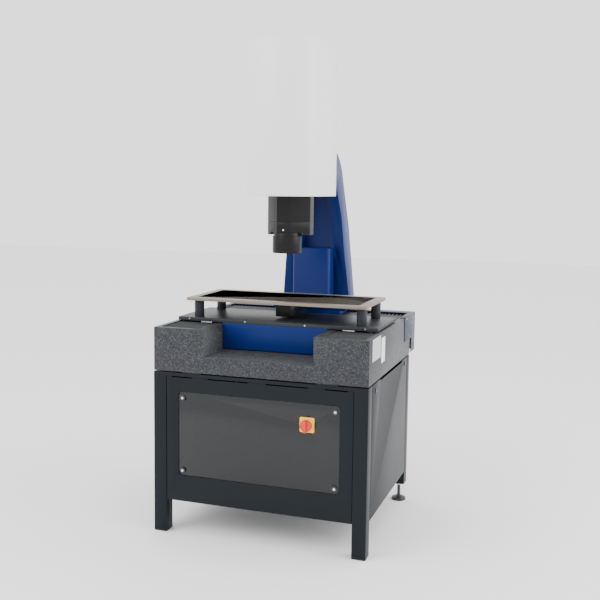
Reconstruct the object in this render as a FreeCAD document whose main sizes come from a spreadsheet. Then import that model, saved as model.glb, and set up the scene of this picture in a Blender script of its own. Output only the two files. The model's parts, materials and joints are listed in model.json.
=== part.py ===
import FreeCAD, Part
import math
import os

import Sketcher
from FreeCAD import Placement, Rotation, Vector

# Optical coordinate measuring machine: a granite bed on a steel stand, a glass stage that
# slides along Y, a column that slides along X and a sensor head that slides along Z.
#
# Millimetres. +Z is up, +X is the machine's right, +Y points to its back. The origin lies on
# the floor, under the middle of the whole machine. Heights are measured from the floor and
# depths from the front face of the bed, which stands at the local y = 0 of each body.

SIZES = {
    # stand
    "stand_width": 730, "stand_depth": 625, "stand_height": 545,
    "leg_width": 45, "tube_wall": 3, "top_rail_height": 11.5, "foot_pad": 4,
    "rear_leg_end": 65, "leg_plate": 5,
    "rail_bottom": 115, "rail_height": 40, "rail_width": 30,
    # panels
    "sheet": 2, "panel_depth": 12, "panel_recess": 0.8, "panel_gap": 1.5, "panel_bottom": 112.5,
    "slot_height": 4, "slot_middle": 30, "slot_inset": 18.5, "outer_slot_length": 74,
    "slot_spacing": 55, "window_border": 45, "window_bottom": 201, "window_top": 482,
    "window_radius": 14, "pane_lap": 8, "pane_thickness": 4,
    "window_screw_radius": 10, "window_screw_height": 4, "window_screw_inset": 14,
    "window_screw_drop": 19.4, "window_screw_rise": 16.7,
    "side_notch_start": 162, "side_notch_end": 488, "side_notch_depth": 5.5,
    "lock_radius": 8, "lock_height": 2, "lock_front": 99.6, "lock_back": 546,
    "lock_front_height": 520, "lock_back_height": 526,
    # rack inside the stand
    "rack_front": 12, "rack_plate": 3, "rack_pitch": 44.45, "rack_ear_span": 482.6,
    "rack_box_width": 430, "rack_box_depth": 300, "rack_wall": 2, "rack_gap": 0.8,
    "upright_width": 30, "upright_wall": 2,
    "power_height": 399, "controller_height": 310, "computer_height": 242.5,
    # main switch
    "switch_side": 169.5, "switch_height": 414, "switch_plate": 48, "switch_plate_height": 3,
    "collar_radius": 23, "collar_height": 6, "knob_radius": 19, "knob_height": 10,
    "handle_length": 39, "handle_width": 9, "handle_height": 12,
    "switch_shaft_radius": 3, "switch_shaft_gap": 0.1, "switch_body_width": 45,
    "switch_body_depth": 40, "turning_gap": 0.3, "switch_corner": 3,
    # levelling feet
    "foot_inset": 22.5, "stem_radius": 6, "foot_radius": 26, "foot_rim": 8,
    "foot_cone": 8, "foot_neck_radius": 10,
    "nut_radius": 11, "nut_height": 9, "nut_gap": 0.2,
    # granite bed
    "bed_gap": 4, "bed_height": 144.4, "bed_chamfer": 1.6, "bed_pad_width": 70,
    "bed_pad_depth": 40, "bed_pad_inset": 135,
    "horn_width": 178, "notch_floor": 55.7, "notch_end": 452,
    "notch_wall": 27, "bed_wall": 19, "trough_start": 14, "trough_end": 450,
    "trough_depth": 33.7, "screw_groove_width": 48, "screw_groove_depth": 24,
    "bellows_recess_start": 428, "bellows_recess_depth": 21.4,
    "ledge_start": 472, "ledge_floor": 58,
    # guides and drives
    "guide_height": 18, "guide_width": 20, "block_width": 40, "block_length": 60,
    "block_gap": 0.3, "block_lift": 4, "block_top": 36,
    "y_guide_inset": 38, "y_block_pitch": 70, "y_block_setback": 12,
    "y_screw_inset": 27, "y_screw_radius": 6, "y_screw_drop": 36, "y_nut_front": 240,
    "screw_gap": 0.1, "support_thickness": 14, "nut_length": 44, "nut_width": 34,
    "y_motor_width": 40, "y_motor_length": 46, "motor_corner": 4,
    # stage
    "plate_gap": 2.3, "plate_inset": 12, "plate_depth": 264, "plate_thickness": 12.4,
    "plate_front": 162, "plate_chamfer": 1.5,
    "carriage_wall": 8, "carriage_lead": 2, "carriage_length": 166, "carriage_gap": 2,
    "carriage_floor_gap": 3.3, "post_radius": 16.75, "post_height": 59.1, "post_inset": 63.4,
    "post_front": 198.3, "post_pitch": 195.3, "frame_inset": 38, "frame_depth": 283, "frame_front": 148.3,
    "frame_thickness": 10.1, "frame_border": 34, "glass_lap": 6, "glass_thickness": 4,
    # bellows
    "pleat_sheet": 1.5, "pleat_height": 8.5, "bellows_gap": 2,
    "y_pleats": 14, "y_back_pleats": 10, "x_pleats": 16, "y_bellows_top": 2.4,
    # column drive
    "x_guide_front": 498, "x_guide_back": 603, "x_guide_inset": 26, "x_block_side": 80,
    "x_screw_depth": 551, "x_screw_radius": 8, "x_screw_lift": 20, "x_screw_inset": 114,
    "x_motor_gap": 6, "x_motor_width": 56, "x_motor_length": 56,
    "x_carriage_half": 120, "x_carriage_inset": 5, "x_carriage_top": 705,
    "x_bellows_front": 430, "x_bellows_top": 690,
    # rear housing
    "housing_sheet": 1.8, "housing_front": 519, "housing_foot_front": 530,
    "housing_edge": 607, "housing_foot": 67, "housing_bottom": 552, "housing_back": 709,
    "housing_side_rim": 17, "housing_room": 54,
    # column
    "column_base_half": 134, "column_top_half": 77, "column_top": 1296, "column_back": 703,
    "column_back_straight": 1011, "column_shoulder_back": 671, "column_shoulder_height": 1190,
    "column_crown_back": 564, "column_crown_bulge": 31, "cheek_base_front": 632,
    "cheek_mid_front": 610, "cheek_mid_height": 907, "cheek_bend_height": 1050,
    "cheek_neck_front": 568, "cheek_neck_height": 1170, "neck_front": 446,
    "neck_bottom": 1205, "neck_bulge": 10,
    "box_half": 72, "box_front": 556, "box_top": 931, "box_radius": 14,
    "channel_top_half": 36, "channel_top": 1150, "channel_bottom_half": 79,
    "channel_back": 668, "step_width": 12, "step_depth": 14, "flange_width": 26,
    "flange_depth": 5, "base_height": 12, "base_front": 540, "base_half": 140, "cut_margin": 1,
    # head drive and cover
    "cover_half": 125, "cover_back": 445.6, "cover_side_front": 238.5,
    "cover_corner_width": 48, "cover_corner_depth": 76, "cover_corner_bulge": 13,
    "cover_front_bulge": 16.6, "cover_bottom": 1125.5, "cover_top": 1638, "cover_wall": 3,
    "back_plate": 15.6, "back_plate_gap": 0.3, "back_plate_margin": 6,
    "z_guide_side": 60, "z_guide_bottom": 1140, "z_guide_top": 1560,
    "z_carriage_bottom": 1262, "z_carriage_height": 200, "z_carriage_half": 85,
    "z_carriage_plate": 16, "z_screw_radius": 8, "z_screw_out": 19, "z_support_bottom": 1142,
    "z_support_top": 1545, "z_nut_bottom": 1335, "z_motor_width": 36, "z_motor_length": 60,
    "z_block_margin": 12, "z_end_gap": 2,
    # sensor head
    "axis_depth": 284.4, "head_front": 43, "head_front_half": 23, "head_half": 76.5,
    "head_corner": 14, "head_back": 57, "head_bottom": 993, "head_joint": 1038,
    "head_top": 1345, "joint_width": 1.2, "joint_depth": 0.8,
    "bracket_half": 50, "bracket_height": 60, "head_relief_radius": 58,
    "head_relief_height": 9, "barrel_radius": 50, "barrel_bottom": 932, "barrel_length": 58,
    "neck_radius": 46, "barrel_bore_radius": 32, "barrel_bore_depth": 14,
    "lens_thickness": 6,
    # transmitted light arm
    "arm_half": 26, "arm_front": 247.5, "arm_bottom": 715, "arm_top": 762,
    "arm_lens_radius": 19, "arm_lens_depth": 4, "arm_beam_half": 22, "arm_head_length": 74,
    "arm_beam_drop": 4,
}

QUARTER = 1 - math.sqrt(0.5)   # how far a quarter circle of radius 1 bulges from its chord

document = FreeCAD.newDocument("CoordinateMeasuringMachine")
sheet = document.addObject("Spreadsheet::Sheet", "Sizes")
for row, (name, number) in enumerate(SIZES.items(), start=1):
    sheet.set("A%d" % row, name)
    sheet.set("B%d" % row, str(number))
    sheet.setAlias("B%d" % row, name)
document.recompute()


class Size:
    """A length: its value in millimetres and the expression that binds it to the sheet."""

    def __init__(self, value, text=None):
        self.value = float(value)
        self.text = text if text else "(%.6f)" % self.value

    def join(self, sign, other, value):
        return Size(value, "(%s %s %s)" % (self.text, sign, other.text))

    def __add__(self, other):
        other = as_size(other)
        return self.join("+", other, self.value + other.value)

    def __sub__(self, other):
        other = as_size(other)
        return self.join("-", other, self.value - other.value)

    def __mul__(self, other):
        other = as_size(other)
        return self.join("*", other, self.value * other.value)

    def __truediv__(self, other):
        other = as_size(other)
        return self.join("/", other, self.value / other.value)

    def __radd__(self, other):
        return as_size(other) + self

    def __rsub__(self, other):
        return as_size(other) - self

    def __rmul__(self, other):
        return as_size(other) * self

    def __neg__(self):
        return Size(0) - self

    def __abs__(self):
        return -self if self.value < 0 else self


def as_size(value):
    return value if isinstance(value, Size) else Size(value)


class Sheet:
    """Reads the sheet's cells by name, as s.bed_height."""

    def __getattr__(self, name):
        return Size(SIZES[name], "Sizes." + name)


s = Sheet()
ZERO = Size(0)

# ---------------------------------------------------------------- heights and depths shared by pieces
half_stand = s.stand_width / 2
inner_leg = half_stand - s.leg_width
window_half = inner_leg - s.window_border
notch_half = half_stand - s.horn_width
trough_inner = notch_half + s.notch_wall
trough_outer = half_stand - s.bed_wall
y_guide_side = trough_inner + s.y_guide_inset
y_screw_side = trough_outer - s.y_screw_inset
plate_half = half_stand - s.plate_inset
frame_half = plate_half - s.frame_inset
x_screw_start = trough_outer - s.x_screw_inset
x_motor_start = trough_outer - s.x_motor_gap - s.x_motor_length
stand_top = s.stand_height
rail_top = s.rail_bottom + s.rail_height
switch_reach = (s.switch_plate_height + s.collar_height + s.turning_gap + s.knob_height
                + s.handle_height - s.panel_recess - s.sheet)
front = (switch_reach - s.housing_back) / 2
x_bellows_back = s.housing_back - s.housing_room
x_carriage_back = x_bellows_back - s.x_carriage_inset
bed_bottom = stand_top + s.bed_gap
bed_top = bed_bottom + s.bed_height
notch_floor = bed_bottom + s.notch_floor
ledge = bed_bottom + s.ledge_floor
plate_bottom = bed_top + s.plate_gap
plate_top = plate_bottom + s.plate_thickness
plate_back = s.plate_front + s.plate_depth
y_blocks_front = s.plate_front + s.y_block_setback
y_blocks_back = y_blocks_front + s.y_block_pitch + s.block_length
trough_floor = bed_top - s.trough_depth
groove_floor = trough_floor - s.screw_groove_depth
frame_bottom = plate_top + s.post_height
frame_top = frame_bottom + s.frame_thickness
pane_front = s.panel_recess + s.sheet
pane_back = pane_front + s.pane_thickness
back_plate_front = s.cover_back - s.back_plate
z_guide_front = back_plate_front - s.guide_height
z_plate_back = back_plate_front - s.block_top
z_plate_front = z_plate_back - s.z_carriage_plate
z_screw_depth = back_plate_front - s.z_screw_out
carriage_bottom = ledge + s.block_top
x_screw_height = ledge + s.x_screw_lift
y_screw_height = bed_top - s.y_screw_drop

pieces = []


# ---------------------------------------------------------------- how a piece is drawn
class Circle:
    def __init__(self, u, v, radius):
        self.u, self.v, self.radius = as_size(u), as_size(v), as_size(radius)


def bind(item, name, size):
    item.setExpression(name, as_size(size).text)


def piece(label, x=ZERO, y=front, z=ZERO):
    body = document.addObject("PartDesign::Body", "Body")
    body.Label = label
    x, y, z = as_size(x), as_size(y), as_size(z)
    body.Placement = Placement(Vector(x.value, y.value, z.value), Rotation())
    for axis, size in zip("xyz", (x, y, z)):
        bind(body, ".Placement.Base." + axis, size)
    pieces.append(body)
    return body


def rectangle(u0, v0, u1, v1):
    return [(u0, v0), (u1, v0), (u1, v1), (u0, v1)]


def rounded(u0, v0, u1, v1, radius):
    """A rectangle with round corners."""
    bulge = radius * QUARTER
    return [(u0 + radius, v0), (u1 - radius, v0, bulge), (u1, v0 + radius),
            (u1, v1 - radius, bulge), (u1 - radius, v1), (u0 + radius, v1, bulge),
            (u0, v1 - radius), (u0, v0 + radius, bulge)]


def bevelled(u0, v0, u1, v1, corner):
    """A rectangle with cut corners."""
    return [(u0 + corner, v0), (u1 - corner, v0), (u1, v0 + corner), (u1, v1 - corner),
            (u1 - corner, v1), (u0 + corner, v1), (u0, v1 - corner), (u0, v0 + corner)]


def centred(u, v, width, height):
    return rectangle(u - width / 2, v - height / 2, u + width / 2, v + height / 2)


def mirrored(loop):
    """The same loop on the other side of the machine's middle plane."""
    return [(-as_size(u), v) + tuple(-as_size(b) for b in bulge) for u, v, *bulge in loop]


def arc_between(start, end, bulge):
    """The arc from start to end that bulges to the right by this much, or to the left if negative."""
    chord = end - start
    height = abs(bulge)
    radius = chord.Length ** 2 / (8 * height) + height / 2
    left = Vector(-chord.y, chord.x, 0).normalize()
    side = 1 if bulge > 0 else -1
    centre = (start + end) / 2 + left * side * (radius - height)
    first, last = (start, end) if bulge > 0 else (end, start)
    angles = [math.atan2(point.y - centre.y, point.x - centre.x) for point in (first, last)]
    if angles[1] < angles[0]:
        angles[1] += 2 * math.pi
    return Part.ArcOfCircle(Part.Circle(centre, Vector(0, 0, 1), radius), *angles)


def draw_loop(sketch, loop, sizes):
    """Adds one closed outline, with every point and radius tied to its size."""
    corners = [(as_size(u), as_size(v), as_size(bulge[0]) if bulge else None)
               for u, v, *bulge in loop]
    first = sketch.GeometryCount
    shapes, ends = [], []
    for index, (u, v, bulge) in enumerate(corners):
        next_u, next_v, _ = corners[(index + 1) % len(corners)]
        start, end = Vector(u.value, v.value, 0), Vector(next_u.value, next_v.value, 0)
        if bulge is None:
            shapes.append(Part.LineSegment(start, end))
            ends.append((1, 2))
        else:
            shapes.append(arc_between(start, end, bulge.value))
            ends.append((1, 2) if bulge.value > 0 else (2, 1))
    sketch.addGeometry(shapes)
    rules = []
    for index, (u, v, bulge) in enumerate(corners):
        edge = first + index
        before = first + (index - 1) % len(corners)
        rules.append(Sketcher.Constraint("Coincident", before, ends[index - 1][1],
                                         edge, ends[index][0]))
        for kind, size in (("DistanceX", u), ("DistanceY", v)):
            sizes.append((sketch.ConstraintCount + len(rules), size))
            rules.append(Sketcher.Constraint(kind, -1, 1, edge, ends[index][0], size.value))
        if bulge is not None:
            next_u, next_v, _ = corners[(index + 1) % len(corners)]
            chord = (next_u - u) * (next_u - u) + (next_v - v) * (next_v - v)
            radius = chord / (8 * abs(bulge)) + abs(bulge) / 2
            sizes.append((sketch.ConstraintCount + len(rules), radius))
            rules.append(Sketcher.Constraint("Radius", edge, radius.value))
    sketch.addConstraint(rules)


def draw_circle(sketch, circle, sizes):
    centre = Vector(circle.u.value, circle.v.value, 0)
    edge = sketch.addGeometry(Part.Circle(centre, Vector(0, 0, 1), circle.radius.value))
    for kind, size in (("DistanceX", circle.u), ("DistanceY", circle.v)):
        sizes.append((sketch.ConstraintCount, size))
        sketch.addConstraint(Sketcher.Constraint(kind, -1, 1, edge, 3, size.value))
    sizes.append((sketch.ConstraintCount, circle.radius))
    sketch.addConstraint(Sketcher.Constraint("Radius", edge, circle.radius.value))


def sketch_at(body, plane, start, loops):
    """A sketch across the x, y or z axis: (y, z), (x, z) or (x, y) are its coordinates."""
    role = {"x": "YZ_Plane", "y": "XZ_Plane", "z": "XY_Plane"}[plane]
    support = next(item for item in body.Origin.OriginFeatures if item.Role == role)
    sketch = body.newObject("Sketcher::SketchObject", "Outline")
    sketch.AttachmentSupport = [(support, "")]
    sketch.MapMode = "FlatFace"
    offset = -start if plane == "y" else as_size(start)
    sketch.AttachmentOffset = Placement(Vector(0, 0, offset.value), Rotation())
    bind(sketch, ".AttachmentOffset.Base.z", offset)
    sizes = []
    for loop in loops:
        if isinstance(loop, Circle):
            draw_circle(sketch, loop, sizes)
        else:
            draw_loop(sketch, loop, sizes)
    for number, size in sizes:
        bind(sketch, "Constraints[%d]" % number, size)
    sketch.Visibility = False
    return sketch


def extrude(body, plane, start, end, *loops):
    """Adds the material between two heights along an axis."""
    pad = body.newObject("PartDesign::Pad", "Pad")
    pad.Profile = sketch_at(body, plane, as_size(start), loops)
    length = as_size(end) - start
    pad.Length = length.value
    bind(pad, "Length", length)
    pad.Reversed = plane == "y"
    return pad


def cut(body, plane, start, end, *loops):
    """Takes the material between two heights along an axis away."""
    pocket = body.newObject("PartDesign::Pocket", "Pocket")
    pocket.Profile = sketch_at(body, plane, as_size(start), loops)
    length = as_size(end) - start
    pocket.Length = length.value
    bind(pocket, "Length", length)
    pocket.Reversed = plane != "y"
    return pocket


def turn(body, plane, axis, *loops):
    """Adds the solid swept by an outline that turns once around an axis of its sketch."""
    revolution = body.newObject("PartDesign::Revolution", "Revolution")
    sketch = sketch_at(body, plane, ZERO, loops)
    revolution.Profile = sketch
    revolution.ReferenceAxis = (sketch, [axis])
    revolution.Angle = 360
    return revolution


def edges_where(feature, test):
    document.recompute()
    return ["Edge%d" % (index + 1) for index, edge in enumerate(feature.Shape.Edges) if test(edge)]


def soften(body, kind, size, test):
    """Rounds or bevels the edges of the body's last feature that pass the test."""
    base = body.Tip
    names = edges_where(base, test)
    feature = body.newObject("PartDesign::" + kind, kind)
    feature.Base = (base, names)
    name = "Radius" if kind == "Fillet" else "Size"
    setattr(feature, name, as_size(size).value)
    bind(feature, name, size)
    return feature


def is_along(edge, direction):
    if len(edge.Vertexes) < 2 or edge.Curve.TypeId != "Part::GeomLine":
        return False
    return abs(abs(edge.Curve.Direction.dot(direction)) - 1) < 1e-6


def near(value, size):
    return abs(value - as_size(size).value) < 1e-4


# ---------------------------------------------------------------- stand
def stand_frame():
    """Welded square tube: four legs, a flat top ring and a ring of rails near the bottom."""
    body = piece("stand_frame")
    wall = s.tube_wall

    def tube(x, y, low, high):
        extrude(body, "z", low, high, centred(x, y, s.leg_width, s.leg_width),
                centred(x, y, s.leg_width - 2 * wall, s.leg_width - 2 * wall))

    side = half_stand - s.leg_width / 2
    back = s.stand_depth - s.leg_width / 2
    for x in (-side, side):
        tube(x, s.leg_width / 2, s.foot_pad, stand_top - s.top_rail_height)
        tube(x, back, s.rear_leg_end, stand_top - s.top_rail_height)
        extrude(body, "z", s.rear_leg_end, s.rear_leg_end + s.leg_plate,
                centred(x, back, s.leg_width, s.leg_width))
    inner = half_stand - s.panel_depth - s.rail_width
    notch = half_stand - s.panel_depth
    extrude(body, "z", stand_top - s.top_rail_height, stand_top,
            [(-half_stand, ZERO), (half_stand, ZERO), (half_stand, s.leg_width),
             (notch, s.leg_width), (notch, s.stand_depth - s.leg_width),
             (half_stand, s.stand_depth - s.leg_width), (half_stand, s.stand_depth),
             (-half_stand, s.stand_depth), (-half_stand, s.stand_depth - s.leg_width),
             (-notch, s.stand_depth - s.leg_width), (-notch, s.leg_width),
             (-half_stand, s.leg_width)],
            rectangle(-inner, s.leg_width, inner, s.stand_depth - s.leg_width))
    outer_front = s.panel_recess + s.panel_depth
    extrude(body, "z", s.rail_bottom, rail_top,
            rectangle(-notch, outer_front, notch, s.stand_depth - outer_front),
            rectangle(-inner, outer_front + s.rail_width,
                      inner, s.stand_depth - outer_front - s.rail_width))


def front_foot_pads():
    body = piece("front_foot_pads")
    side = half_stand - s.leg_width / 2
    extrude(body, "z", ZERO, s.foot_pad, *[
        centred(x, s.leg_width / 2, s.leg_width, s.leg_width) for x in (-side, side)])


def levelling_feet():
    """A threaded stem on a dished foot, turned, and the same under the other rear leg."""
    side = half_stand - s.foot_inset
    body = piece("levelling_feet", side, front + s.stand_depth - s.foot_inset)
    shoulder = s.foot_rim + s.foot_cone
    foot = turn(body, "y", "V_Axis", [
        (ZERO, ZERO), (s.foot_radius, ZERO), (s.foot_radius, s.foot_rim),
        (s.foot_neck_radius, shoulder), (s.stem_radius, shoulder),
        (s.stem_radius, s.rear_leg_end), (ZERO, s.rear_leg_end)])
    pair = body.newObject("PartDesign::LinearPattern", "Pair")
    pair.Originals = [foot]
    pair.Direction = (foot.Profile[0], ["H_Axis"])
    pair.Reversed = True
    pair.Length = (side + side).value
    bind(pair, "Length", side + side)
    pair.Occurrences = 2
    body.Tip = pair


def hexagon(u, v, radius):
    slant = radius * math.sqrt(3) / 2
    return [(u + radius, v), (u + radius / 2, v + slant), (u - radius / 2, v + slant),
            (u - radius, v), (u - radius / 2, v - slant), (u + radius / 2, v - slant)]


def foot_lock_nuts():
    body = piece("foot_lock_nuts")
    loops = []
    for x in (-(half_stand - s.foot_inset), half_stand - s.foot_inset):
        y = s.stand_depth - s.foot_inset
        loops += [hexagon(x, y, s.nut_radius), Circle(x, y, s.stem_radius + s.nut_gap)]
    extrude(body, "z", s.rear_leg_end - s.nut_height, s.rear_leg_end, *loops)


# ---------------------------------------------------------------- panels and window
def front_panel():
    """A folded tray with a window, and slots of air along its top edge."""
    body = piece("front_panel")
    half = inner_leg - s.panel_gap
    top = stand_top - s.top_rail_height
    near_face, far_face = s.panel_recess, s.panel_recess + s.panel_depth
    extrude(body, "y", near_face, far_face, rectangle(-half, s.panel_bottom, half, top))
    cut(body, "y", near_face + s.sheet, far_face,
        rectangle(-half + s.sheet, s.panel_bottom + s.sheet, half - s.sheet, top))
    cut(body, "y", near_face, near_face + s.sheet,
        rounded(-window_half, s.window_bottom, window_half, s.window_top, s.window_radius))
    slots = []
    outer_end = half - s.slot_inset
    outer_start = outer_end - s.outer_slot_length
    for start, end in ((s.slot_middle, outer_start - s.slot_spacing), (outer_start, outer_end)):
        slot = rectangle(start, top - s.slot_height, end, top)
        slots += [slot, mirrored(slot)]
    cut(body, "y", near_face, near_face + s.sheet, *slots)


def window_pane():
    """A smoked pane behind the window, drilled for the main switch."""
    body = piece("window_pane")
    half = window_half + s.pane_lap
    extrude(body, "y", pane_front, pane_back,
            rectangle(-half, s.window_bottom - s.pane_lap, half, s.window_top + s.pane_lap),
            Circle(s.switch_side, s.switch_height, s.switch_shaft_radius + s.switch_shaft_gap))


def window_screws():
    """Round black heads that hold the pane at the corners of the window."""
    body = piece("window_screws")
    side = window_half - s.window_screw_inset
    heads = [Circle(x, z, s.window_screw_radius) for x in (-side, side)
             for z in (s.window_bottom + s.window_screw_rise, s.window_top - s.window_screw_drop)]
    extrude(body, "y", pane_front - s.window_screw_height, pane_front, *heads)


def side_panel(label, side):
    """A folded tray between the legs, with a long shallow cut-out in its top edge."""
    body = piece(label)
    start, end = s.leg_width + s.panel_gap, s.stand_depth - s.leg_width - s.panel_gap
    outer, inner = half_stand, half_stand - s.panel_depth
    low, high = (outer * side, inner * side) if side < 0 else (inner, outer)
    extrude(body, "x", low, high, rectangle(start, s.panel_bottom, end, stand_top))
    skin = (half_stand - s.sheet) * side
    low, high = (skin, inner * side) if side < 0 else (inner, skin)
    cut(body, "x", low, high,
        rectangle(start + s.sheet, s.panel_bottom + s.sheet, end - s.sheet, stand_top))
    low, high = (outer * side, skin) if side < 0 else (skin, outer)
    cut(body, "x", low, high,
        rectangle(s.side_notch_start, stand_top - s.side_notch_depth, s.side_notch_end, stand_top))


def panel_locks():
    """Quarter-turn locks of the side panels."""
    body = piece("panel_locks")
    spots = [Circle(s.lock_front, s.lock_front_height, s.lock_radius),
             Circle(s.lock_back, s.lock_back_height, s.lock_radius)]
    extrude(body, "x", half_stand, half_stand + s.lock_height, *spots)
    extrude(body, "x", -half_stand - s.lock_height, -half_stand, *spots)


def back_panel():
    body = piece("back_panel")
    half = inner_leg - s.panel_gap
    top = stand_top - s.top_rail_height
    outer = s.stand_depth - s.panel_recess
    inner = outer - s.panel_depth
    extrude(body, "y", inner, outer, rectangle(-half, s.panel_bottom, half, top))
    cut(body, "y", inner, outer - s.sheet,
        rectangle(-half + s.sheet, s.panel_bottom + s.sheet, half - s.sheet, top))


def floor_panel():
    body = piece("floor_panel")
    half = inner_leg - s.panel_gap
    edge = s.panel_recess + s.panel_depth + s.sheet
    extrude(body, "z", rail_top, rail_top + s.sheet,
            rectangle(-half, edge, half, s.stand_depth - edge))


# ---------------------------------------------------------------- rack and its units
def rack_uprights():
    """Two angle uprights that carry the nineteen inch units by their ears."""
    body = piece("rack_uprights")
    floor, top = rail_top + s.sheet, stand_top - s.top_rail_height
    face = s.rack_front + s.rack_plate
    outer = s.rack_ear_span / 2
    inner = s.rack_box_width / 2 + s.rack_gap
    angle = [(inner, face), (outer + s.upright_wall, face),
             (outer + s.upright_wall, face + s.upright_width),
             (outer, face + s.upright_width), (outer, face + s.upright_wall),
             (inner, face + s.upright_wall)]
    extrude(body, "z", floor, top, angle, mirrored(angle))


def rack_unit(label, centre, units):
    """A rack unit: a front plate with ears and a sheet box behind it, open for its plugs."""
    body = piece(label)
    half_height = units * s.rack_pitch / 2 - s.rack_gap / 2
    ear, half = s.rack_ear_span / 2, s.rack_box_width / 2
    face = s.rack_front + s.rack_plate
    extrude(body, "y", s.rack_front, face,
            rectangle(-ear, centre - half_height, ear, centre + half_height))
    extrude(body, "y", face, face + s.rack_box_depth,
            rectangle(-half, centre - half_height, half, centre + half_height))
    inner, height = half - s.rack_wall, half_height - s.rack_wall
    cut(body, "y", face, face + s.rack_box_depth,
        rectangle(-inner, centre - height, inner, centre + height))
    return body


def power_unit():
    """The unit behind the main switch, with a hole for the switch body."""
    body = rack_unit("power_unit", s.power_height, 2)
    bay = centred(s.switch_side, s.switch_height, s.switch_body_width + s.rack_gap,
                  s.switch_body_width + s.rack_gap)
    cut(body, "y", s.rack_front, s.rack_front + s.rack_plate, bay)


# ---------------------------------------------------------------- main switch
def main_switch_plate():
    """A square plate with a round collar, on the pane."""
    body = piece("main_switch_plate", s.switch_side, front, s.switch_height)
    half = s.switch_plate / 2
    hole = Circle(ZERO, ZERO, s.switch_shaft_radius + s.switch_shaft_gap)
    extrude(body, "y", pane_front - s.switch_plate_height, pane_front,
            bevelled(-half, -half, half, half, s.switch_corner), hole)
    extrude(body, "y", pane_front - s.switch_plate_height - s.collar_height,
            pane_front - s.switch_plate_height, Circle(ZERO, ZERO, s.collar_radius), hole)


def main_switch_knob():
    """The knob with its bar handle and the shaft to the switch body."""
    body = piece("main_switch_knob", s.switch_side, front, s.switch_height)
    back = pane_front - s.switch_plate_height - s.collar_height - s.turning_gap
    face = back - s.knob_height
    extrude(body, "y", face, back, Circle(ZERO, ZERO, s.knob_radius))
    extrude(body, "y", face - s.handle_height, face,
            bevelled(-s.handle_width / 2, -s.handle_length / 2, s.handle_width / 2,
                     s.handle_length / 2, s.switch_corner))
    extrude(body, "y", back, s.rack_front + s.switch_body_depth / 2,
            Circle(ZERO, ZERO, s.switch_shaft_radius))


def main_switch_body():
    """The switch itself, in the hole of the power unit."""
    body = piece("main_switch_body", s.switch_side, front, s.switch_height)
    half = s.switch_body_width / 2
    extrude(body, "y", s.rack_front, s.rack_front + s.switch_body_depth,
            rectangle(-half, -half, half, half))
    cut(body, "y", s.rack_front, s.rack_front + s.switch_body_depth / 2,
        Circle(ZERO, ZERO, s.switch_shaft_radius + s.switch_shaft_gap))


# ---------------------------------------------------------------- granite bed
def bed_pads():
    body = piece("bed_pads")
    pads = [centred(x, y, s.bed_pad_width, s.bed_pad_depth)
            for x in (s.bed_pad_inset - half_stand, half_stand - s.bed_pad_inset)
            for y in (s.leg_width / 2, s.stand_depth - s.leg_width / 2)]
    extrude(body, "z", stand_top, bed_bottom, *pads)


def granite_bed():
    """The granite: a front notch for the stage carriage, a trough for each guide of the
    stage, a shallow recess for the bellows and a deep ledge for the column's guides."""
    body = piece("granite_bed")
    half = s.stand_width / 2
    extrude(body, "z", bed_bottom, bed_top, rectangle(-half, ZERO, half, s.stand_depth))
    soften(body, "Chamfer", s.bed_chamfer, lambda edge: is_along(edge, Vector(0, 0, 1))
           or near(edge.CenterOfMass.z, bed_top))
    cut(body, "z", notch_floor, bed_top,
        rectangle(-notch_half, -s.bed_chamfer, notch_half, s.notch_end))
    trough = rectangle(trough_inner, s.trough_start, trough_outer, s.trough_end)
    cut(body, "z", trough_floor, bed_top, trough, mirrored(trough))
    cut(body, "z", groove_floor, trough_floor,
        rectangle(trough_outer - s.screw_groove_width, s.trough_start,
                  trough_outer, s.trough_end))
    cut(body, "z", bed_top - s.bellows_recess_depth, bed_top,
        rectangle(-trough_outer, s.bellows_recess_start, trough_outer,
                  s.stand_depth + s.bed_chamfer))
    cut(body, "z", ledge, bed_top,
        rectangle(-trough_outer, s.ledge_start, trough_outer, s.stand_depth + s.bed_chamfer))


# ---------------------------------------------------------------- guides and drives of the stage
def y_guide_rails():
    body = piece("y_guide_rails")
    extrude(body, "z", trough_floor, trough_floor + s.guide_height, *[
        rectangle(x - s.guide_width / 2, s.trough_start, x + s.guide_width / 2, s.trough_end)
        for x in (-y_guide_side, y_guide_side)])


def runner_profile(across, floor, top):
    """The section of a runner block that straddles a guide rail."""
    half, slot = s.block_width / 2, s.guide_width / 2 + s.block_gap
    low, roof = floor + s.block_lift, floor + s.guide_height + s.block_gap
    return [(across - half, low), (across - slot, low), (across - slot, roof),
            (across + slot, roof), (across + slot, low), (across + half, low),
            (across + half, top), (across - half, top)]


def y_runner_blocks():
    body = piece("y_runner_blocks")
    loops = [runner_profile(x, trough_floor, plate_bottom)
             for x in (-y_guide_side, y_guide_side)]
    for start in (y_blocks_front, y_blocks_front + s.y_block_pitch):
        extrude(body, "y", start, start + s.block_length, *loops)


def y_ball_screw():
    body = piece("y_ball_screw", y_screw_side, front, y_screw_height)
    extrude(body, "y", s.trough_start + s.y_motor_length, s.trough_end,
            Circle(ZERO, ZERO, s.y_screw_radius))


def screw_supports():
    """The bearing blocks of the stage's and the column's ball screws, on the granite."""
    body = piece("screw_supports")
    half, thick = s.nut_width / 2, s.support_thickness
    across = y_screw_side
    for start in (s.trough_start + s.y_motor_length + s.turning_gap, s.trough_end - thick):
        extrude(body, "y", start, start + thick,
                rectangle(across - half, groove_floor, across + half, y_screw_height + half),
                Circle(across, y_screw_height, s.y_screw_radius + s.screw_gap))
    across = s.x_screw_depth
    for start in (-x_screw_start, x_motor_start - thick - s.turning_gap):
        extrude(body, "x", start, start + thick,
                rectangle(across - half, ledge, across + half, x_screw_height + thick),
                Circle(across, x_screw_height, s.x_screw_radius + s.screw_gap))


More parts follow.
